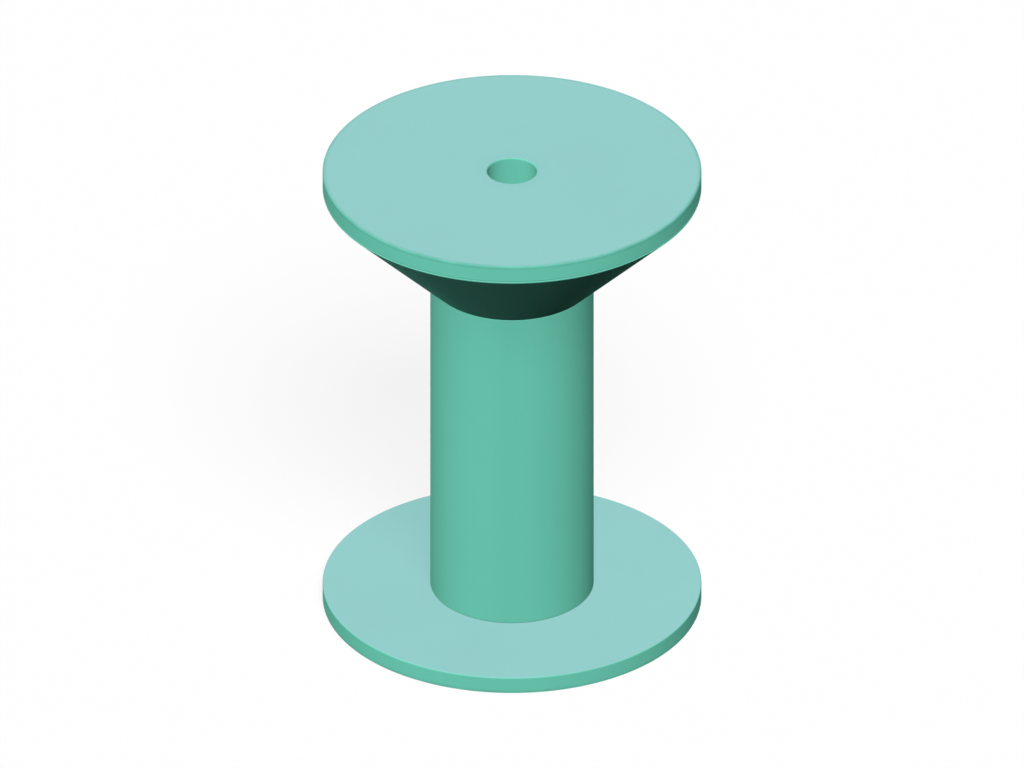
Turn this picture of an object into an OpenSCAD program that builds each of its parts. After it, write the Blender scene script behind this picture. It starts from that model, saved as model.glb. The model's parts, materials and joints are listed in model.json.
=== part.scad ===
// Yarn bobbin: a barrel between two flat flanges, with a cone under the top flange.
// The axis of the bore is the Z axis, and the bottom face lies on z = 0.
// The mouldings plug together on keyed spigots, and two bushes run on the spindle.

/* [Overall] */
// Length over both end faces
bobbin_length = 100; // [92:1:130]
// Diameter of the two flanges
flange_d = 76.5; // [70:0.5:90]
// Thickness of each flange
flange_t = 3.6; // [3:0.1:4.6]
// Diameter of the barrel, where the yarn is wound
barrel_d = 33; // [30:0.5:38]
// Slope of the cone under the top flange, in degrees from level
cone_slope = 45; // [42:1:50]

/* [Walls] */
// Wall of the barrel
barrel_wall = 2.4; // [2:0.1:3]
// Wall of the cone, measured square to its slope
cone_wall = 2.2; // [1.8:0.1:2.8]
// Wall of the spigots that plug into the barrel
spigot_wall = 2.2; // [1.9:0.1:2.6]
// Wall of the hubs that hold the bushes
hub_wall = 2.2; // [1.8:0.1:2.6]
// Thickness of the floors that tie the hubs to the spigots
floor_t = 2.4; // [1.8:0.1:3]
// Thickness of the radial webs round each hub
web_t = 1.8; // [1.4:0.1:2.4]
// Number of radial webs round each hub
web_count = 8; // [6:1:10]

/* [Bore] */
// Diameter of the hole in each flange
hole_d = 10; // [9.9:0.1:10.8]
// Bore of the bushes, which run on the spindle
bush_bore_d = 9.6; // [9:0.1:9.8]
// Wall of each bush
bush_wall = 2.2; // [2:0.1:2.8]
// Length of each bush
bush_length = 10; // [8:0.5:12]
// Wall of the tube that guides the spindle from bush to bush
guide_wall = 1.4; // [1:0.1:1.8]

/* [Joints] */
// Height of the collar and of the key ring inside each flange
collar_h = 4; // [3:0.5:5]
// Length of the spigots inside the barrel
spigot_length = 16; // [12:0.5:20]
// Length of the guide tube that the lower hub holds
guide_seat = 5; // [3:0.5:7]
// Number of key ribs inside the barrel
rib_count = 4; // [2:1:6]
// Width of each key rib
rib_w = 2.6; // [2:0.1:3.2]
// Height of each key rib
rib_h = 1; // [0.6:0.1:1.3]
// Clearance between a plug and its socket, on each side
fit_gap = 0.05; // [0.03:0.01:0.1]
// Free height above the key ring, so that the flange seats first
ring_gap = 0.3; // [0.2:0.1:0.5]

/* [Edges] */
// Radius of the outer edge of each flange
rim_round = 0.3; // [0.2:0.1:0.8]
// Radius of the edges where two mouldings meet
seam_round = 0.2; // [0.1:0.05:0.3]
// Chamfer at the mouth of the hole in each flange
mouth_chamfer = 0.3; // [0.2:0.1:0.6]
// Chamfer at the ends of each bush
bush_chamfer = 0.4; // [0.2:0.1:0.6]
// Chamfer that leads each spigot into the barrel
lead_chamfer = 0.6; // [0.3:0.1:0.9]
// Radius in the corners between a floor and its hub or spigot
root_round = 0.5; // [0.3:0.1:0.7]

/* [Hidden] */
$fn = 96;

plastic = "#68bea8";
bronze = "#b08a52";
natural = "#d8d6cc";

flange_r = flange_d / 2;
barrel_r = barrel_d / 2;
hole_r = hole_d / 2;

// Fits round the axis, from the spindle outwards
bush_bore_r = bush_bore_d / 2;
bush_r = bush_bore_r + bush_wall;
hub_bore_r = bush_r;
hub_r = hub_bore_r + hub_wall;
plug_in_hub_r = hub_bore_r - fit_gap;
barrel_bore_r = barrel_r - barrel_wall;
spigot_r = barrel_bore_r - fit_gap;
spigot_bore_r = spigot_r - spigot_wall;
rib_tip_r = barrel_bore_r - rib_h;

// Heights, from the bottom face upwards
cone_h = (flange_r - barrel_r) * tan(cone_slope);
barrel_z0 = flange_t;
cone_z1 = bobbin_length - flange_t;
cone_z0 = cone_z1 - cone_h;
lower_bush_z = barrel_z0 + collar_h;
upper_bush_z = cone_z1 - collar_h - bush_length;
guide_z0 = lower_bush_z + bush_length;
base_hub_z1 = guide_z0 + guide_seat;
base_spigot_z1 = barrel_z0 + spigot_length;
base_floor_z0 = barrel_z0 + collar_h + ring_gap;
base_floor_z1 = base_floor_z0 + floor_t;
base_web_z1 = min(base_spigot_z1 - lead_chamfer, base_hub_z1);
head_floor_z1 = cone_z0 + floor_t;
head_spigot_z0 = cone_z0 - spigot_length;

// How far a cutter runs past the surface that it cuts through
cut_over = 1;

// The inside corners get a smaller radius where hub and spigot leave little room
root_r = min(root_round, (spigot_bore_r - hub_r) / 5);

// The cone's wall is slanted, so it is wider on the level than square to the slope
cone_wall_level = cone_wall / sin(cone_slope);

// Radius of the outside of the cone at a height
function cone_r(z) = barrel_r + (z - cone_z0) / tan(cone_slope);

// Points of an arc about a centre, between two angles
function arc(centre, radius, from, to, steps = 5) = [
    for (i = [0:steps])
        let (a = from + (to - from) * i / steps)
        centre + radius * [cos(a), sin(a)]
];

// Points that round the inside corner at a radius and a height. The signs say on which
// side of the corner the open space lies: outwards or inwards, and up or down.
function corner(r, z, out, up, from, to) =
    arc([r + out * root_r, z + up * root_r], root_r, from, to);

// A plain ring about the axis
module ring(inner_r, outer_r, z0, z1) {
    translate([0, 0, z0])
        difference() {
            cylinder(r = outer_r, h = z1 - z0);
            translate([0, 0, -cut_over])
                cylinder(r = inner_r, h = z1 - z0 + 2 * cut_over);
        }
}

// Upright blades that stand round the axis, each centred on a radius
module blades(count, turn, thickness, inner_r, outer_r, z0, z1) {
    for (i = [0:count - 1])
        rotate(turn + i * 360 / count)
            translate([inner_r, -thickness / 2, z0])
                cube([outer_r - inner_r, thickness, z1 - z0]);
}

// The key ribs stand half a pitch away from the first web
module rib_blades(slack, inner_r, outer_r, z0, z1) {
    blades(rib_count, 180 / web_count, rib_w + 2 * slack, inner_r, outer_r, z0, z1);
}

// Grooves that let a spigot slide over the key ribs of the barrel
module rib_grooves(z0, z1) {
    rib_blades(fit_gap, rib_tip_r - fit_gap, barrel_bore_r, z0, z1);
}

// A ring that stands on the flange: its free edges clear the round corners of the floor,
// and its slots let the webs through, so that the flange can't turn
module key_ring(inner_r, outer_r, z0, z1) {
    difference() {
        rotate_extrude()
            polygon([
                [inner_r, z0],
                [outer_r, z0],
                [outer_r, z1 - root_r],
                [outer_r - root_r, z1],
                [inner_r + root_r, z1],
                [inner_r, z1 - root_r]
            ]);
        blades(web_count, 0, web_t + 2 * fit_gap, hub_bore_r, spigot_r,
            flange_t, z1 + cut_over);
    }
}

// One flange, with its show face on z = 0 and its collar and key ring upwards
module flange_moulding() {
    rotate_extrude()
        polygon(concat(
            [
                [hole_r, mouth_chamfer],
                [hole_r + mouth_chamfer, 0]
            ],
            arc([flange_r - rim_round, rim_round], rim_round, -90, 0),
            arc([flange_r - seam_round, flange_t - seam_round], seam_round, 0, 90),
            [
                [plug_in_hub_r, flange_t],
                [plug_in_hub_r, flange_t + collar_h],
                [hole_r, flange_t + collar_h]
            ]
        ));
    key_ring(hub_r + fit_gap, spigot_bore_r - fit_gap, flange_t / 2, flange_t + collar_h);
}

module bottom_flange() {
    color(plastic)
        flange_moulding();
}

module top_flange() {
    color(plastic)
        translate([0, 0, bobbin_length])
            mirror([0, 0, 1])
                flange_moulding();
}

// Plugs the lower end of the barrel and carries the lower bush
module base_plug() {
    color(plastic)
        difference() {
            union() {
                rotate_extrude()
                    polygon(concat(
                        [
                            [hub_bore_r, barrel_z0],
                            [hub_r, barrel_z0]
                        ],
                        corner(hub_r, base_floor_z0, 1, -1, 180, 90),
                        corner(spigot_bore_r, base_floor_z0, -1, -1, 90, 0),
                        [
                            [spigot_bore_r, barrel_z0],
                            [spigot_r, barrel_z0],
                            [spigot_r, base_spigot_z1 - lead_chamfer],
                            [spigot_r - lead_chamfer, base_spigot_z1],
                            [spigot_bore_r, base_spigot_z1]
                        ],
                        corner(spigot_bore_r, base_floor_z1, -1, 1, 0, -90),
                        corner(hub_r, base_floor_z1, 1, 1, 270, 180),
                        [
                            [hub_r, base_hub_z1],
                            [hub_bore_r, base_hub_z1]
                        ]
                    ));
                blades(web_count, 0, web_t, hub_r - hub_wall / 2,
                    spigot_bore_r + (rib_tip_r - spigot_bore_r) / 2,
                    barrel_z0, base_web_z1);
            }
            rib_grooves(barrel_z0 - cut_over, base_spigot_z1 + cut_over);
        }
}

// The core that the yarn is wound on: a tube whose bore leaves the key ribs standing
module barrel() {
    color(plastic)
        difference() {
            rotate_extrude()
                polygon(concat(
                    [[0, barrel_z0]],
                    arc([barrel_r - seam_round, barrel_z0 + seam_round], seam_round, -90, 0),
                    arc([barrel_r - seam_round, cone_z0 - seam_round], seam_round, 0, 90),
                    [[0, cone_z0]]
                ));
            difference() {
                translate([0, 0, barrel_z0 - cut_over])
                    cylinder(r = barrel_bore_r, h = cone_z0 - barrel_z0 + 2 * cut_over);
                rib_blades(0, rib_tip_r, barrel_r,
                    barrel_z0 - 2 * cut_over, cone_z0 + 2 * cut_over);
            }
        }
}

// The hollow cone: its floor closes the barrel, and its hub carries the upper bush
module cone_head() {
    color(plastic)
        difference() {
            union() {
                rotate_extrude()
                    polygon(concat(
                        [[hub_bore_r, cone_z0]],
                        corner(spigot_bore_r, cone_z0, -1, -1, 90, 0),
                        [
                            [spigot_bore_r, head_spigot_z0],
                            [spigot_r - lead_chamfer, head_spigot_z0],
                            [spigot_r, head_spigot_z0 + lead_chamfer],
                            [spigot_r, cone_z0],
                            [cone_r(cone_z0), cone_z0]
                        ],
                        arc([flange_r - seam_round, cone_z1 - seam_round], seam_round,
                            cone_slope - 90, 90),
                        [
                            [flange_r - cone_wall_level, cone_z1],
                            [cone_r(head_floor_z1) - cone_wall_level, head_floor_z1]
                        ],
                        corner(hub_r, head_floor_z1, 1, 1, 270, 180),
                        [
                            [hub_r, cone_z1],
                            [hub_bore_r, cone_z1]
                        ]
                    ));
                intersection() {
                    blades(web_count, 0, web_t, hub_r - hub_wall / 2, flange_r,
                        cone_z0 + floor_t / 2, cone_z1);
                    translate([0, 0, cone_z0])
                        cylinder(r1 = barrel_r - cone_wall_level / 2,
                            r2 = flange_r - cone_wall_level / 2, h = cone_h);
                }
            }
            rib_grooves(head_spigot_z0 - cut_over, cone_z0);
        }
}

// A plain sleeve bush with both mouths chamfered
module bush(z0) {
    z1 = z0 + bush_length;
    color(bronze)
        rotate_extrude()
            polygon([
                [bush_bore_r + bush_chamfer, z0],
                [bush_r - bush_chamfer, z0],
                [bush_r, z0 + bush_chamfer],
                [bush_r, z1 - bush_chamfer],
                [bush_r - bush_chamfer, z1],
                [bush_bore_r + bush_chamfer, z1],
                [bush_bore_r, z1 - bush_chamfer],
                [bush_bore_r, z0 + bush_chamfer]
            ]);
}

module lower_bush() {
    bush(lower_bush_z);
}

module upper_bush() {
    bush(upper_bush_z);
}

// Leads the spindle from one bush to the other
module guide_tube() {
    color(natural)
        ring(plug_in_hub_r - guide_wall, plug_in_hub_r, guide_z0, upper_bush_z);
}

bottom_flange();
base_plug();
lower_bush();
barrel();
guide_tube();
cone_head();
upper_bush();
top_flange();
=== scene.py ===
import json
import math

import bmesh
import bpy
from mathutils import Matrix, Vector


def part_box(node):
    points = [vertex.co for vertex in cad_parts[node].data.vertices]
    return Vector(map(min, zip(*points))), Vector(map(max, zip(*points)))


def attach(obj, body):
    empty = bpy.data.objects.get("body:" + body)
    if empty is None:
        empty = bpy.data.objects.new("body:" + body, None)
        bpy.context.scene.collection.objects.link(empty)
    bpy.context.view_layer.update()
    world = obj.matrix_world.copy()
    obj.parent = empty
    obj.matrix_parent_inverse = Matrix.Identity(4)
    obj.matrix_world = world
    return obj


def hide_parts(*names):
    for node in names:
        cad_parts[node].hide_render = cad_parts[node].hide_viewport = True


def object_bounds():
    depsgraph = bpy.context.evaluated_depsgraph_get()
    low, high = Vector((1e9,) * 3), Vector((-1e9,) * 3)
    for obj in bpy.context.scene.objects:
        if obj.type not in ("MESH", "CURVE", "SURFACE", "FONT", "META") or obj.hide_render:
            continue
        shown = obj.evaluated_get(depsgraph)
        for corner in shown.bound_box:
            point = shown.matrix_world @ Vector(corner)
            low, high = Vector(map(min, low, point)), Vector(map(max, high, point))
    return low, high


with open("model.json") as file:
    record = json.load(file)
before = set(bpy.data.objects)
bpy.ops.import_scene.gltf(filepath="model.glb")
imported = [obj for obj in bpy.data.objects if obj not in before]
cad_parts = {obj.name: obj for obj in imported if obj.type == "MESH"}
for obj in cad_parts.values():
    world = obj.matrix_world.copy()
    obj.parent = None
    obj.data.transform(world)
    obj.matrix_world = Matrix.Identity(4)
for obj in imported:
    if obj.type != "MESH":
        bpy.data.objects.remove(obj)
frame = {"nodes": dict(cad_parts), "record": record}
cad_lowest, cad_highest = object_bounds()

# Camera. It looks down on the standing bobbin with parallel rays: the photograph's sides are
# upright and its three ellipses have one proportion. Their proportion gives the elevation,
# and the width of the flange in the picture gives the scale.
image_width_px = 1024
flange_width_px = 378.9
camera_elevation = math.radians(30.557)
camera_distance = 0.6
flange_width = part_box("top_flange")[1].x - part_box("top_flange")[0].x

camera = bpy.data.objects.new("camera", bpy.data.cameras.new("camera"))
camera.data.type = "ORTHO"
camera.data.ortho_scale = flange_width * image_width_px / flange_width_px
camera.rotation_euler = (math.pi / 2 - camera_elevation, 0, 0)
camera.location = (cad_lowest + cad_highest) / 2 + camera_distance * Vector(
    (0, -math.cos(camera_elevation), math.sin(camera_elevation)))
bpy.context.scene.collection.objects.link(camera)
bpy.context.scene.camera = camera
bpy.context.scene.view_settings.view_transform = "Standard"


# Flanges. The two flat discs are one moulding in teal plastic, used twice. Each has a collar
# round its hole and a slotted key ring, which plug into the hub and the spigot behind it, and the
# webs there stand in the slots. The show faces are painted a paler, bluer teal, a painted sheen
# in place of the lamps' reflection. Their edges are painted darker, partly wear and partly
# painted shade on the lit edge, and so is a faint ring round the hole where the spindle rubs.
mm = 0.001
turning_segments = 192
fit_gap = 0.05 * mm
flange_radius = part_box("bottom_flange")[1].x
flange_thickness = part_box("barrel")[0].z
collar_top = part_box("bottom_flange")[1].z
bobbin_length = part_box("top_flange")[1].z
hole_radius = next(mount["dims"]["r_mm"] for mount in frame["record"]["mounts"]
                   if mount["name"] == "top_hole") * mm
hub_wall = 2.2 * mm
barrel_wall = 2.4 * mm
spigot_wall = 2.2 * mm
hub_bore_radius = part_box("lower_bush")[1].x
hub_radius = hub_bore_radius + hub_wall
spigot_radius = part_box("barrel")[1].x - barrel_wall - fit_gap
spigot_bore_radius = spigot_radius - spigot_wall
web_thickness = 1.8 * mm
web_count = 8
sharp_edge = math.radians(35)


def rounded(corners, steps=6, hold=0.12 * mm):
    """The points of a closed outline. Each corner (radius, height, rounding) becomes an arc, with
    one point held close on either side of it, so that the flats beside it stay flat."""
    points = []
    for i, (radius, height, rounding) in enumerate(corners):
        corner = Vector((radius, height))
        if not rounding:
            points.append(corner)
            continue
        before = (Vector(corners[i - 1][:2]) - corner).normalized()
        after = (Vector(corners[(i + 1) % len(corners)][:2]) - corner).normalized()
        half_angle = before.angle(after) / 2
        reach = rounding / math.tan(half_angle)
        centre = corner + (before + after).normalized() * rounding / math.sin(half_angle)
        start = (corner + before * reach - centre).normalized()
        end = (corner + after * reach - centre).normalized()
        points.append(corner + before * (reach + hold))
        points += [centre + start.slerp(end, step / steps) * rounding
                   for step in range(steps + 1)]
        points.append(corner + after * (reach + hold))
    return points


def outline_object(name, points):
    """An object whose mesh is the closed outline, drawn in the plane of radius and height."""
    mesh = bpy.data.meshes.new(name)
    loop = [(i, (i + 1) % len(points)) for i in range(len(points))]
    mesh.from_pydata([(radius, 0, height) for radius, height in points], loop, [])
    outline = bpy.data.objects.new(name, mesh)
    bpy.context.scene.collection.objects.link(outline)
    return outline


def plate_object(name, points, thickness):
    """A flat plate with that outline in the plane of radius and height, centred on it."""
    work = bmesh.new()
    outline = [work.verts.new((radius, -thickness / 2, height)) for radius, height in points]
    face = work.faces.new(outline)
    grown = bmesh.ops.extrude_face_region(work, geom=[face], use_keep_orig=True)["geom"]
    moved = [v for v in grown if isinstance(v, bmesh.types.BMVert)]
    bmesh.ops.translate(work, vec=(0, thickness, 0), verts=moved)
    bmesh.ops.recalc_face_normals(work, faces=work.faces)
    mesh = bpy.data.meshes.new(name)
    work.to_mesh(mesh)
    work.free()
    plate = bpy.data.objects.new(name, mesh)
    bpy.context.scene.collection.objects.link(plate)
    return plate


def add(tree, kind, inputs=None, **settings):
    """Adds a node. Its inputs are plain values, or other nodes' sockets to be linked."""
    node = tree.nodes.new(kind)
    for name, value in settings.items():
        setattr(node, name, value)
    for name, value in (inputs or {}).items():
        if isinstance(value, bpy.types.NodeSocket):
            tree.links.new(value, node.inputs[name])
        else:
            node.inputs[name].default_value = value
    return node


def new_tree(name, kind, inputs, outputs):
    """A node group with named inputs and outputs. Returns it with its two end nodes."""
    tree = bpy.data.node_groups.new(name, kind)
    for socket_name, socket_kind in inputs.items():
        tree.interface.new_socket(socket_name, in_out="INPUT", socket_type=socket_kind)
    for socket_name, socket_kind in outputs.items():
        tree.interface.new_socket(socket_name, in_out="OUTPUT", socket_type=socket_kind)
    return tree, tree.nodes.new("NodeGroupInput"), tree.nodes.new("NodeGroupOutput")


def turning_tree():
    """Turns an outline about the upright axis into a closed moulding."""
    tree, given, result = new_tree(
        "turned moulding", "GeometryNodeTree",
        {"Outline": "NodeSocketGeometry", "Path Radius": "NodeSocketFloat",
         "Segments": "NodeSocketInt", "Material": "NodeSocketMaterial"},
        {"Moulding": "NodeSocketGeometry"})
    inwards = add(tree, "ShaderNodeMath", {0: given.outputs["Path Radius"], 1: -1.0},
                  operation="MULTIPLY")
    to_path = add(tree, "ShaderNodeCombineXYZ", {"X": inwards.outputs[0]})
    laid = add(tree, "GeometryNodeTransform", {
        "Geometry": given.outputs["Outline"], "Translation": to_path.outputs[0],
        "Rotation": (math.pi / 2, 0, 0)})
    outline = add(tree, "GeometryNodeMeshToCurve", {"Mesh": laid.outputs[0]})
    facing = add(tree, "GeometryNodeReverseCurve", {"Curve": outline.outputs[0]})
    path = add(tree, "GeometryNodeCurvePrimitiveCircle", {
        "Resolution": given.outputs["Segments"], "Radius": given.outputs["Path Radius"]})
    swept = add(tree, "GeometryNodeCurveToMesh", {
        "Curve": path.outputs[0], "Profile Curve": facing.outputs[0]})
    real = add(tree, "GeometryNodeRealizeInstances", {"Geometry": swept.outputs[0]})
    dressed = add(tree, "GeometryNodeSetMaterial", {
        "Geometry": real.outputs[0], "Material": given.outputs["Material"]})
    tree.links.new(dressed.outputs[0], result.inputs["Moulding"])
    return tree


def plates_tree():
    """Stands copies of a plate round the axis, and joins them to a moulding or cuts them out."""
    tree, given, result = new_tree(
        "ring of plates", "GeometryNodeTree",
        {"Moulding": "NodeSocketGeometry", "Plate": "NodeSocketObject",
         "Count": "NodeSocketInt", "Turn": "NodeSocketFloat", "Cut": "NodeSocketBool",
         "Material": "NodeSocketMaterial"},
        {"Moulding": "NodeSocketGeometry"})
    plate = add(tree, "GeometryNodeObjectInfo", {"Object": given.outputs["Plate"]})
    places = add(tree, "GeometryNodeMeshLine", {"Count": given.outputs["Count"],
                                                "Offset": (0, 0, 0)})
    pitch = add(tree, "ShaderNodeMath", {0: 2 * math.pi, 1: given.outputs["Count"]},
                operation="DIVIDE")
    index = add(tree, "GeometryNodeInputIndex")
    angle = add(tree, "ShaderNodeMath", {0: index.outputs[0], 1: pitch.outputs[0],
                                         2: given.outputs["Turn"]}, operation="MULTIPLY_ADD")
    rotation = add(tree, "ShaderNodeCombineXYZ", {"Z": angle.outputs[0]})
    stood = add(tree, "GeometryNodeInstanceOnPoints", {
        "Points": places.outputs[0], "Instance": plate.outputs["Geometry"],
        "Rotation": rotation.outputs[0]})
    plates = add(tree, "GeometryNodeRealizeInstances", {"Geometry": stood.outputs[0]})
    joined = add(tree, "GeometryNodeMeshBoolean", operation="UNION", solver="MANIFOLD")
    tree.links.new(given.outputs["Moulding"], joined.inputs["Mesh 2"])
    tree.links.new(plates.outputs[0], joined.inputs["Mesh 2"])
    cut = add(tree, "GeometryNodeMeshBoolean", {
        "Mesh 1": given.outputs["Moulding"], "Mesh 2": plates.outputs[0]},
        operation="DIFFERENCE", solver="MANIFOLD")
    chosen = add(tree, "GeometryNodeSwitch", {
        "Switch": given.outputs["Cut"], "False": joined.outputs["Mesh"],
        "True": cut.outputs["Mesh"]}, input_type="GEOMETRY")
    real = add(tree, "GeometryNodeRealizeInstances", {"Geometry": chosen.outputs[0]})
    dressed = add(tree, "GeometryNodeSetMaterial", {
        "Geometry": real.outputs[0], "Material": given.outputs["Material"]})
    tree.links.new(dressed.outputs[0], result.inputs["Moulding"])
    return tree


turned_moulding = turning_tree()
ring_of_plates = plates_tree()


def add_modifier(piece, tree, values):
    """Adds the tree to the piece, with its named inputs set before it is evaluated."""
    modifier = piece.modifiers.new(tree.name, "NODES")
    modifier.node_group = tree
    for socket in tree.interface.items_tree:
        if socket.name in values and socket.in_out == "INPUT":
            modifier[socket.identifier] = values[socket.name]


def mould(name, corners, material, plates=()):
    """Makes a finished piece: the outline is turned, and then each ring of plates, given as
    (outline, thickness, count, turn, cut), is joined to it or cut out of it."""
    piece = outline_object(name, rounded(corners))
    add_modifier(piece, turned_moulding, {
        "Path Radius": max(corner[0] for corner in corners) / 2,
        "Segments": turning_segments, "Material": material})
    helpers = []
    for plate_outline, thickness, count, turn, cut in plates:
        plate = plate_object(name + "_plate", plate_outline, thickness)
        helpers.append(plate)
        add_modifier(piece, ring_of_plates, {
            "Plate": plate, "Count": count, "Turn": turn, "Cut": cut, "Material": material})
    made = bpy.data.meshes.new_from_object(
        piece.evaluated_get(bpy.context.evaluated_depsgraph_get()))
    piece.modifiers.clear()
    piece.data = made
    made.name = name
    made.shade_smooth()
    made.set_sharp_from_angle(angle=sharp_edge)
    for helper in helpers:
        bpy.data.objects.remove(helper)
    return piece


def box_outline(inner, outer, bottom, top):
    return [(inner, bottom), (outer, bottom), (outer, top), (inner, top)]


def new_material(name, colour, roughness, specular):
    """A material with its own Principled shader. Returns it, its tree and the shader."""
    material = bpy.data.materials.new(name)
    material.use_nodes = True
    shader = material.node_tree.nodes["Principled BSDF"]
    shader.inputs["Base Color"].default_value = (*colour, 1)
    shader.inputs["Roughness"].default_value = roughness
    shader.inputs["Specular IOR Level"].default_value = specular
    return material, material.node_tree, shader


def math_node(tree, operation, *values, clamp=False):
    """The result of a sum on plain values and sockets."""
    return add(tree, "ShaderNodeMath", dict(enumerate(values)), operation=operation,
               use_clamp=clamp).outputs[0]


def mix_colours(tree, factor, first, second):
    """A colour that goes from the first to the second as the factor goes from 0 to 1."""
    factor_input, first_input, second_input, colour_output = 0, 6, 7, 2
    inputs = {factor_input: factor, first_input: first, second_input: second}
    return add(tree, "ShaderNodeMix", inputs, data_type="RGBA").outputs[colour_output]


def vector_length(tree, vector):
    """The length of a vector."""
    return add(tree, "ShaderNodeVectorMath", {0: vector}, operation="LENGTH").outputs["Value"]


def place_on_piece(tree):
    """The place on the piece, its three parts, and its distance from the upright axis."""
    place = add(tree, "ShaderNodeTexCoord").outputs["Object"]
    parts = add(tree, "ShaderNodeSeparateXYZ", {"Vector": place}).outputs
    across = add(tree, "ShaderNodeCombineXYZ", {"X": parts["X"], "Y": parts["Y"]})
    return place, parts, vector_length(tree, across.outputs[0])


def skin_group():
    """The skin of a moulding: the pigment flows in faint clouds, and the mould's spark-eroded
    face leaves a fine grain. Tone is near 1, and Grain is the height of the grain."""
    tree, given, result = new_tree(
        "moulded skin", "ShaderNodeTree",
        {"Cloud Size": "NodeSocketFloat", "Cloud Depth": "NodeSocketFloat",
         "Grain Size": "NodeSocketFloat", "Grain Depth": "NodeSocketFloat"},
        {"Tone": "NodeSocketFloat", "Grain": "NodeSocketFloat"})
    place = add(tree, "ShaderNodeTexCoord").outputs["Object"]
    noise_middle = 0.5
    tones = []
    for kind in ("Cloud", "Grain"):
        scale = math_node(tree, "DIVIDE", 1.0, given.outputs[kind + " Size"])
        noise = add(tree, "ShaderNodeTexNoise", {"Vector": place, "Scale": scale, "Detail": 2.0})
        swing = math_node(tree, "SUBTRACT", noise.outputs[0], noise_middle)
        tones.append(math_node(tree, "MULTIPLY_ADD", swing, given.outputs[kind + " Depth"], 1.0))
    tree.links.new(math_node(tree, "MULTIPLY", *tones), result.inputs["Tone"])
    tree.links.new(noise.outputs[0], result.inputs["Grain"])
    return tree


def turning_group():
    """Marks that run round the axis, left by a lathe or by what the piece turns against.
    Marks goes from 0 to 1, and Radius is the distance from the axis."""
    tree, given, result = new_tree(
        "turning marks", "ShaderNodeTree",
        {"Ring Width": "NodeSocketFloat", "Waver": "NodeSocketFloat"},
        {"Marks": "NodeSocketFloat", "Radius": "NodeSocketFloat"})
    place, parts, radius = place_on_piece(tree)
    drift_size = 17 * mm
    drift = add(tree, "ShaderNodeTexNoise", {"Vector": place, "Scale": 1 / drift_size,
                                             "Detail": 0.0})
    wavering = math_node(tree, "MULTIPLY", drift.outputs[0], given.outputs["Waver"])
    section = add(tree, "ShaderNodeCombineXYZ", {
        "X": math_node(tree, "ADD", radius, wavering),
        "Y": math_node(tree, "ADD", parts["Z"], wavering)})
    rings = add(tree, "ShaderNodeTexNoise", {
        "Vector": section.outputs[0], "Detail": 3.0,
        "Scale": math_node(tree, "DIVIDE", 1.0, given.outputs["Ring Width"])})
    tree.links.new(rings.outputs[0], result.inputs["Marks"])
    tree.links.new(radius, result.inputs["Radius"])
    return tree


def edge_group():
    """A mask along a round edge, for wear and for painted shade. Middle is the height half-way up
    the bobbin, so that the mask lies on both edges that are as far from it as Edge Height says.
    Wear goes from 0 to 1."""
    tree, given, result = new_tree(
        "edge wear", "ShaderNodeTree",
        {"Edge Radius": "NodeSocketFloat", "Edge Height": "NodeSocketFloat",
         "Middle": "NodeSocketFloat", "Width": "NodeSocketFloat"},
        {"Wear": "NodeSocketFloat"})
    place, parts, radius = place_on_piece(tree)
    height = math_node(tree, "ABSOLUTE",
                       math_node(tree, "SUBTRACT", parts["Z"], given.outputs["Middle"]))
    offset = add(tree, "ShaderNodeCombineXYZ", {
        "X": math_node(tree, "SUBTRACT", radius, given.outputs["Edge Radius"]),
        "Y": math_node(tree, "SUBTRACT", height, given.outputs["Edge Height"])})
    distance = vector_length(tree, offset.outputs[0])
    near = math_node(tree, "SUBTRACT", 1.0,
                     math_node(tree, "DIVIDE", distance, given.outputs["Width"]), clamp=True)
    patch_size = 4.5 * mm
    least_worn = 0.3
    patches = add(tree, "ShaderNodeTexNoise", {"Vector": place, "Scale": 1 / patch_size,
                                               "Detail": 3.0})
    patchy = add(tree, "ShaderNodeMapRange", {
        "Value": patches.outputs[0], "From Min": 0.25, "From Max": 0.6,
        "To Min": least_worn}).outputs[0]
    worn = math_node(tree, "MULTIPLY", near, patchy, clamp=True)
    tree.links.new(worn, result.inputs["Wear"])
    return tree


moulded_skin = skin_group()
turning_marks = turning_group()
edge_wear_and_shade = edge_group()


def place_group(tree, group, **values):
    """Places a node group in a material with its own values: edge_radius sets Edge Radius."""
    inputs = {name.replace("_", " ").title(): value for name, value in values.items()}
    node = add(tree, "ShaderNodeGroup", node_tree=group)
    for name, value in inputs.items():
        node.inputs[name].default_value = value
    return node


def add_bump(tree, shader, height, depth):
    """Gives the surface a relief that deep, in metres, where the height goes from 0 to 1."""
    bump = add(tree, "ShaderNodeBump", {"Height": height, "Distance": depth, "Strength": 1.0})
    tree.links.new(bump.outputs[0], shader.inputs["Normal"])


def paint(tree, shader, colour, tone):
    """Gives the shader the colour, made lighter or darker by the tone, which is near 1."""
    toned = add(tree, "ShaderNodeVectorMath", {0: colour, "Scale": tone}, operation="SCALE")
    tree.links.new(toned.outputs[0], shader.inputs["Base Color"])


def roughness_by_marks(tree, marks, first, second):
    """A roughness that goes from the first to the second as the marks go from 0 to 1."""
    return add(tree, "ShaderNodeMapRange", {
        "Value": marks.outputs["Marks"], "To Min": first, "To Max": second}).outputs[0]


teal = (0.120, 0.482, 0.362)
# Painted sheen: a paler, bluer teal for the flat faces, in place of the lamps' reflection on
# them.
painted_sheen_teal = (0.215, 0.461, 0.446)
# Wear and painted shade: a darker teal for the edges and the ring round the hole, which also
# damps the highlight of the lit edge.
worn_and_shaded_teal = (0.085, 0.350, 0.270)
matt_gloss = 0.025
grain_relief = 0.006 * mm


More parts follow.
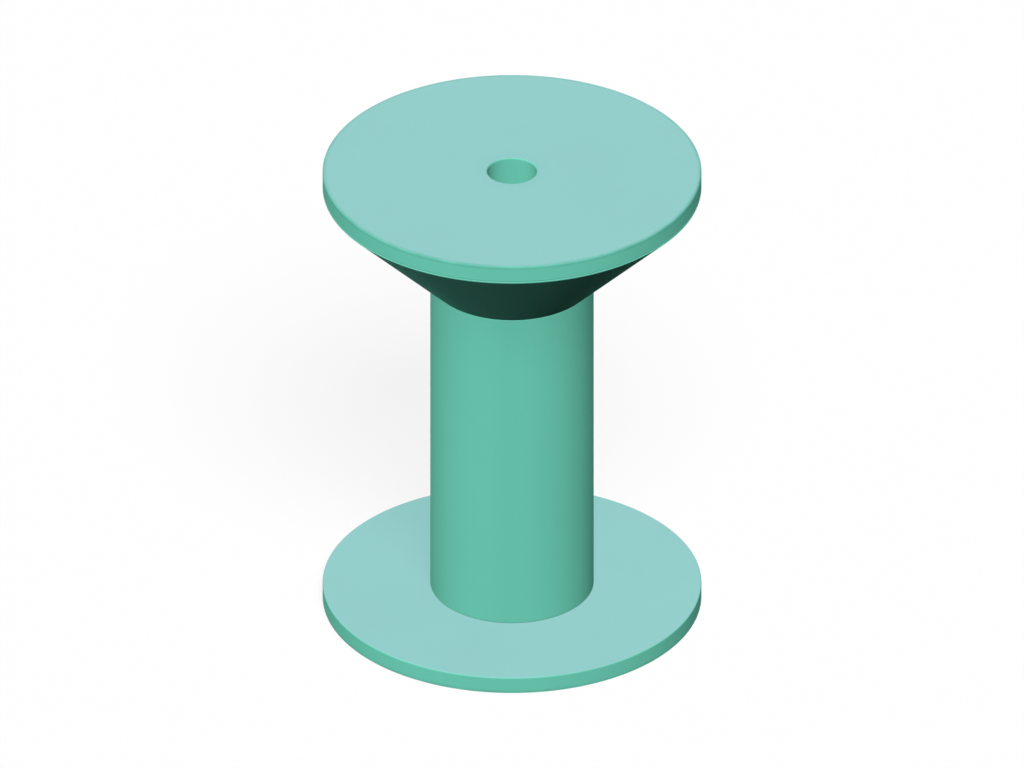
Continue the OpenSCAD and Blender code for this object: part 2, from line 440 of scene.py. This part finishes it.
def teal_plastic(name, specular, cloud_size):
    """Teal plastic with the moulded skin. Returns it, its tree, its shader and its skin."""
    material, tree, shader = new_material(name, teal, 0.5, specular)
    skin = place_group(tree, moulded_skin, cloud_size=cloud_size, cloud_depth=0.05,
                       grain_size=0.35 * mm, grain_depth=0.05)
    return material, tree, shader, skin


flat_from, flat_full = 0.75, 0.98
rub_reach = 3.5 * mm
rub_strength = 0.12
rub_polish = 0.25
mark_relief = 0.4
flange_material, tree, shader, skin = teal_plastic("teal flange plastic", matt_gloss, 22 * mm)
marks = place_group(tree, turning_marks, ring_width=0.7 * mm, waver=0.4 * mm)
wear_and_shade = place_group(tree, edge_wear_and_shade, edge_radius=flange_radius, edge_height=bobbin_length / 2,
                   middle=bobbin_length / 2, width=0.9 * mm)
facing = add(tree, "ShaderNodeSeparateXYZ",
             {"Vector": add(tree, "ShaderNodeTexCoord").outputs["Normal"]})
flat = add(tree, "ShaderNodeMapRange", {
    "Value": math_node(tree, "ABSOLUTE", facing.outputs["Z"]),
    "From Min": flat_from, "From Max": flat_full}).outputs[0]
hole_rub = add(tree, "ShaderNodeMapRange", {
    "Value": marks.outputs["Radius"], "From Min": hole_radius + rub_reach,
    "From Max": hole_radius}).outputs[0]
rubbed = math_node(tree, "MULTIPLY", hole_rub, math_node(tree, "MULTIPLY", flat, rub_strength))
# Painted sheen: the flat faces, up or down, get the paler, bluer teal in place of the lamps'
# reflection.
colour = mix_colours(tree, flat, (*teal, 1), (*painted_sheen_teal, 1))
# Painted shade and wear: the edges and the ring round the hole go to the darker teal, partly
# rubbed wear and partly shade painted on the lit edge.
colour = mix_colours(tree, math_node(tree, "MAXIMUM", rubbed, wear_and_shade.outputs["Wear"]),
                     colour, (*worn_and_shaded_teal, 1))
paint(tree, shader, colour, skin.outputs["Tone"])
polished = math_node(tree, "MULTIPLY", math_node(tree, "ADD", rubbed, wear_and_shade.outputs["Wear"]),
                     rub_polish)
tree.links.new(math_node(tree, "SUBTRACT", roughness_by_marks(tree, marks, 0.74, 0.62), polished),
               shader.inputs["Roughness"])
relief = math_node(tree, "MULTIPLY_ADD", marks.outputs["Marks"], mark_relief,
                   skin.outputs["Grain"])
add_bump(tree, shader, relief, grain_relief)

edge_round, seat_round, key_round = 0.3 * mm, 0.2 * mm, 0.4 * mm
key_ring_inner = hub_radius + fit_gap
key_ring_outer = spigot_bore_radius - fit_gap
flange_corners = [
    (hole_radius, 0, edge_round),
    (flange_radius, 0, edge_round),
    (flange_radius, flange_thickness, seat_round),
    (key_ring_outer, flange_thickness, seat_round),
    (key_ring_outer, collar_top, key_round),
    (key_ring_inner, collar_top, key_round),
    (key_ring_inner, flange_thickness, seat_round),
    (hub_bore_radius - fit_gap, flange_thickness, seat_round),
    (hub_bore_radius - fit_gap, collar_top, edge_round),
    (hole_radius, collar_top, edge_round),
]
slot_sink = 0.1 * mm
cut_past = 1 * mm
slot_outline = box_outline((hub_bore_radius + key_ring_inner) / 2,
                           (key_ring_outer + spigot_radius) / 2,
                           flange_thickness - slot_sink, collar_top + cut_past)
web_slot = web_thickness + 2 * fit_gap


def upside_down(points):
    """The same outline on the upper flange, whose show face is the top of the bobbin."""
    return [(point[0], bobbin_length - point[1], *point[2:]) for point in reversed(points)]


bottom_flange = mould("bottom_flange_moulding", flange_corners, flange_material,
                      [(slot_outline, web_slot, web_count, 0, True)])
top_flange = mould("top_flange_moulding", upside_down(flange_corners), flange_material,
                   [(upside_down(slot_outline), web_slot, web_count, 0, True)])
for flange, node in ((bottom_flange, "bottom_flange"), (top_flange, "top_flange")):
    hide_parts(node)
    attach(flange, "root")


# Base plug. A teal moulding that closes the lower end of the barrel: a spigot pressed into
# the barrel, and a hub on a floor and eight webs, which holds the lower bush. It is shut in
# between the barrel and the bottom flange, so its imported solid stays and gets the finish.
plug_material, tree, shader, skin = teal_plastic("teal plug plastic", matt_gloss, 12 * mm)
paint(tree, shader, teal, skin.outputs["Tone"])
add_bump(tree, shader, skin.outputs["Grain"], grain_relief)
frame["nodes"]["base_plug"].material_slots[0].material = plug_material


# Bushes. Two plain sleeves of sintered bronze, pressed into the hubs, in which the spindle
# runs. The bronze is brown with oil, dotted with fine pores, and polished where it rubs.
bronze = (0.434, 0.254, 0.084)
oiled_bronze = (0.210, 0.105, 0.040)
pore_pitch = 0.3 * mm
pore_rim, pore_middle = 0.22, 0.12
oil_patches_per_metre = 180.0
pore_relief = 0.004 * mm
bush_material, tree, shader = new_material("oiled sintered bronze", bronze, 0.4, 0.5)
shader.inputs["Metallic"].default_value = 1.0
marks = place_group(tree, turning_marks, ring_width=0.15 * mm, waver=0.05 * mm)
place = add(tree, "ShaderNodeTexCoord").outputs["Object"]
pores = add(tree, "ShaderNodeTexVoronoi", {"Vector": place, "Scale": 1 / pore_pitch})
pore = add(tree, "ShaderNodeMapRange", {
    "Value": pores.outputs["Distance"], "From Min": pore_rim, "From Max": pore_middle}).outputs[0]
oil = add(tree, "ShaderNodeTexNoise", {
    "Vector": place, "Scale": oil_patches_per_metre, "Detail": 3.0}).outputs[0]
colour = mix_colours(tree, math_node(tree, "MAXIMUM", pore, oil), (*bronze, 1),
                     (*oiled_bronze, 1))
tree.links.new(colour, shader.inputs["Base Color"])
tree.links.new(roughness_by_marks(tree, marks, 0.28, 0.5), shader.inputs["Roughness"])
add_bump(tree, shader, math_node(tree, "SUBTRACT", marks.outputs["Marks"], pore), pore_relief)
for node in ("lower_bush", "upper_bush"):
    frame["nodes"][node].material_slots[0].material = bush_material


# Barrel. The teal tube that the yarn is wound on, with four key ribs down its bore. Yarn
# drawn round it has polished faint rings into its matt outside.
barrel_radius, barrel_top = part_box("barrel")[1].x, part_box("barrel")[1].z
barrel_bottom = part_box("barrel")[0].z
barrel_bore_radius = spigot_radius + fit_gap
rib_height = 1.0 * mm
rib_width = 2.6 * mm
rib_count = 4
rib_turn = math.pi / web_count
end_set_back = 0.2 * mm
seam_round = 0.08 * mm
yarn_mark_relief = 0.6

barrel_material, tree, shader, skin = teal_plastic("teal barrel plastic", matt_gloss, 18 * mm)
marks = place_group(tree, turning_marks, ring_width=0.9 * mm, waver=0.6 * mm)
paint(tree, shader, teal, skin.outputs["Tone"])
tree.links.new(roughness_by_marks(tree, marks, 0.76, 0.6), shader.inputs["Roughness"])
relief = math_node(tree, "MULTIPLY_ADD", marks.outputs["Marks"], yarn_mark_relief,
                   skin.outputs["Grain"])
add_bump(tree, shader, relief, grain_relief)

barrel_corners = [
    (barrel_bore_radius, barrel_bottom, seat_round),
    (barrel_radius, barrel_bottom, seat_round),
    (barrel_radius, barrel_top, seam_round),
    (barrel_bore_radius, barrel_top, seat_round),
]
rib_outline = box_outline(barrel_bore_radius - rib_height,
                          (barrel_bore_radius + barrel_radius) / 2,
                          barrel_bottom + end_set_back, barrel_top - end_set_back)
barrel = mould("barrel_tube", barrel_corners, barrel_material,
               [(rib_outline, rib_width, rib_count, rib_turn, False)])
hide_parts("barrel")
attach(barrel, "root")


# Guide tube. An extruded tube of natural, milky plastic between the two bushes, which keeps
# the spindle in line as it is pushed through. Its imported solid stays.
milky = (0.68, 0.67, 0.60)
tube_relief = 0.005 * mm
tube_material, tree, shader = new_material("natural tube plastic", milky, 0.42, 0.4)
shader.inputs["Subsurface Weight"].default_value = 0.2
shader.inputs["Subsurface Radius"].default_value = (1.2 * mm, 1.1 * mm, 0.9 * mm)
shader.inputs["Subsurface Scale"].default_value = 1.0
skin = place_group(tree, moulded_skin, cloud_size=9 * mm, cloud_depth=0.08,
                   grain_size=0.5 * mm, grain_depth=0.04)
paint(tree, shader, milky, skin.outputs["Tone"])
add_bump(tree, shader, skin.outputs["Grain"], tube_relief)
frame["nodes"]["guide_tube"].material_slots[0].material = tube_material


# Cone head. The hollow teal cone under the top flange, moulded with the floor that closes the
# barrel, the hub that holds the upper bush, eight webs between hub and cone, and the spigot
# that is pressed over the key ribs of the barrel.
cone_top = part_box("cone_head")[1].z
spigot_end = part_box("cone_head")[0].z
cone_rise = (cone_top - barrel_top) / (flange_radius - barrel_radius)
cone_wall = 2.2 * mm
cone_wall_level = cone_wall / math.sin(math.atan(cone_rise))
floor_thickness = 2.4 * mm
cone_land = 0.25 * mm
lead_in = 0.6 * mm
weld = 0.5 * mm
inner_fillet, foot_round, lip_round = 0.5 * mm, 0.15 * mm, 0.1 * mm
groove_end_gap = 0.02 * mm

cone_material, tree, shader, skin = teal_plastic("teal cone plastic", matt_gloss / 2, 18 * mm)
marks = place_group(tree, turning_marks, ring_width=0.9 * mm, waver=0.6 * mm)
paint(tree, shader, teal, skin.outputs["Tone"])
tree.links.new(roughness_by_marks(tree, marks, 0.88, 0.76), shader.inputs["Roughness"])
add_bump(tree, shader, skin.outputs["Grain"], grain_relief)


def cone_radius(height):
    """Radius of the outside of the cone at a height."""
    return barrel_radius + (height - barrel_top) / cone_rise


cone_floor_top = barrel_top + floor_thickness
cone_corners = [
    (hub_bore_radius, barrel_top, 0),
    (spigot_bore_radius, barrel_top, inner_fillet),
    (spigot_bore_radius, spigot_end, seat_round),
    (spigot_radius, spigot_end, lead_in),
    (spigot_radius, barrel_top, lip_round),
    (barrel_radius, barrel_top, foot_round),
    (flange_radius, cone_top - cone_land, lip_round),
    (flange_radius, cone_top, lip_round),
    (flange_radius - cone_wall_level, cone_top, seat_round),
    (cone_radius(cone_floor_top) - cone_wall_level, cone_floor_top, edge_round),
    (hub_radius, cone_floor_top, inner_fillet),
    (hub_radius, cone_top, seat_round),
    (hub_bore_radius, cone_top, seat_round),
]
web_bottom, web_top = cone_floor_top - weld, cone_top - end_set_back
web_outline = [
    (hub_radius - weld, web_bottom),
    (cone_radius(web_bottom) - cone_wall_level / 2, web_bottom),
    (cone_radius(web_top) - cone_wall_level / 2, web_top),
    (hub_radius - weld, web_top),
]
groove_outline = box_outline(barrel_bore_radius - rib_height - fit_gap, barrel_radius,
                             spigot_end - cut_past, barrel_top - groove_end_gap)
cone_head = mould("cone_head_moulding", cone_corners, cone_material, [
    (web_outline, web_thickness, web_count, 0, False),
    (groove_outline, rib_width + 2 * fit_gap, rib_count, rib_turn, True)])
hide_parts("cone_head")
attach(cone_head, "root")


# Floor. A plain pale floor that runs out past the picture on all sides. It is open under the
# bobbin, clear when seen from below, and clear to the lamps, so that the underside can be lit
# and seen. It throws no light back on the bobbin.
floor_reach = 2.0
floor_drop = 0.05 * mm
floor_tuck = 1 * mm
floor_ring_points = 128
ring_angles = [2 * math.pi * i / floor_ring_points for i in range(floor_ring_points)]
floor_points = [(radius * math.cos(angle), radius * math.sin(angle), -floor_drop)
                for radius in (flange_radius - floor_tuck, floor_reach) for angle in ring_angles]
floor_faces = [(i, i + floor_ring_points, (i + 1) % floor_ring_points + floor_ring_points,
                (i + 1) % floor_ring_points) for i in range(floor_ring_points)]
floor_mesh = bpy.data.meshes.new("floor")
floor_mesh.from_pydata(floor_points, [], floor_faces)
floor = bpy.data.objects.new("floor", floor_mesh)
bpy.context.scene.collection.objects.link(floor)

pale, unlit = (0.765, 0.765, 0.765, 1), (0, 0, 0, 1)
floor_material = bpy.data.materials.new("pale floor")
floor_material.use_nodes = True
tree = floor_material.node_tree
tree.nodes.remove(tree.nodes["Principled BSDF"])


def seen_rays(tree):
    """1 for the rays that show a thing: to the camera, in a reflection or through glass."""
    rays = add(tree, "ShaderNodeLightPath").outputs
    shown = math_node(tree, "MAXIMUM", rays["Is Camera Ray"], rays["Is Glossy Ray"])
    return math_node(tree, "MAXIMUM", shown, rays["Is Transmission Ray"])


matt = add(tree, "ShaderNodeBsdfDiffuse",
           {"Color": mix_colours(tree, seen_rays(tree), unlit, pale)})
from_below = add(tree, "ShaderNodeNewGeometry").outputs["Backfacing"]
towards_a_lamp = add(tree, "ShaderNodeLightPath").outputs["Is Shadow Ray"]
surface = add(tree, "ShaderNodeMixShader", {
    0: math_node(tree, "MAXIMUM", from_below, towards_a_lamp),
    1: matt.outputs[0], 2: add(tree, "ShaderNodeBsdfTransparent").outputs[0]})
tree.links.new(surface.outputs[0], tree.nodes["Material Output"].inputs["Surface"])
floor_mesh.materials.append(floor_material)


# Light. Plain soft lamps stand round the bobbin and throw no shadow, as in the photograph. One
# more beside the key lamp leaves a faint shadow on the floor, and one lights the underside.
def lamp(name, azimuth, elevation, level, spread=6, shadow=False):
    """A distant soft lamp. Azimuth 0 is the camera's side and goes up to the right. At level 1 a
    white card that faces the lamp is just white."""
    azimuth, elevation = math.radians(azimuth), math.radians(elevation)
    sun = bpy.data.lights.new(name, "SUN")
    sun.energy = level * math.pi
    sun.angle = math.radians(spread)
    sun.use_shadow = shadow
    holder = bpy.data.objects.new(name, sun)
    towards = Vector((math.sin(azimuth) * math.cos(elevation),
                      -math.cos(azimuth) * math.cos(elevation), math.sin(elevation)))
    holder.rotation_euler = towards.to_track_quat("Z", "Y").to_euler()
    bpy.context.scene.collection.objects.link(holder)


lamp("key", 10, 50, 0.715)
lamp("key_with_shadow", 10, 50, 0.2, spread=25, shadow=True)
lamp("left_front", -15, 35, 0.48)
lamp("right_front", 50, 35, 0.087)
lamp("left_side", -65, 27, 0.1)
lamp("far_left", -95, 20, 0.395)
lamp("far_right", 90, 20, 0.076)
lamp("back", 180, 8, 0.5)
lamp("underside", 0, -90, 1.2, spread=0.5, shadow=True)

# The pieces throw no light on one another, because the photographed cone is dark underneath.
for piece in (bottom_flange, top_flange, barrel, cone_head, *frame["nodes"].values()):
    piece.visible_diffuse = False

world = bpy.data.worlds.new("studio")
bpy.context.scene.world = world
world.use_nodes = True
tree = world.node_tree
white = (1, 1, 1, 1)
tree.links.new(mix_colours(tree, seen_rays(tree), unlit, white),
               tree.nodes["Background"].inputs["Color"])
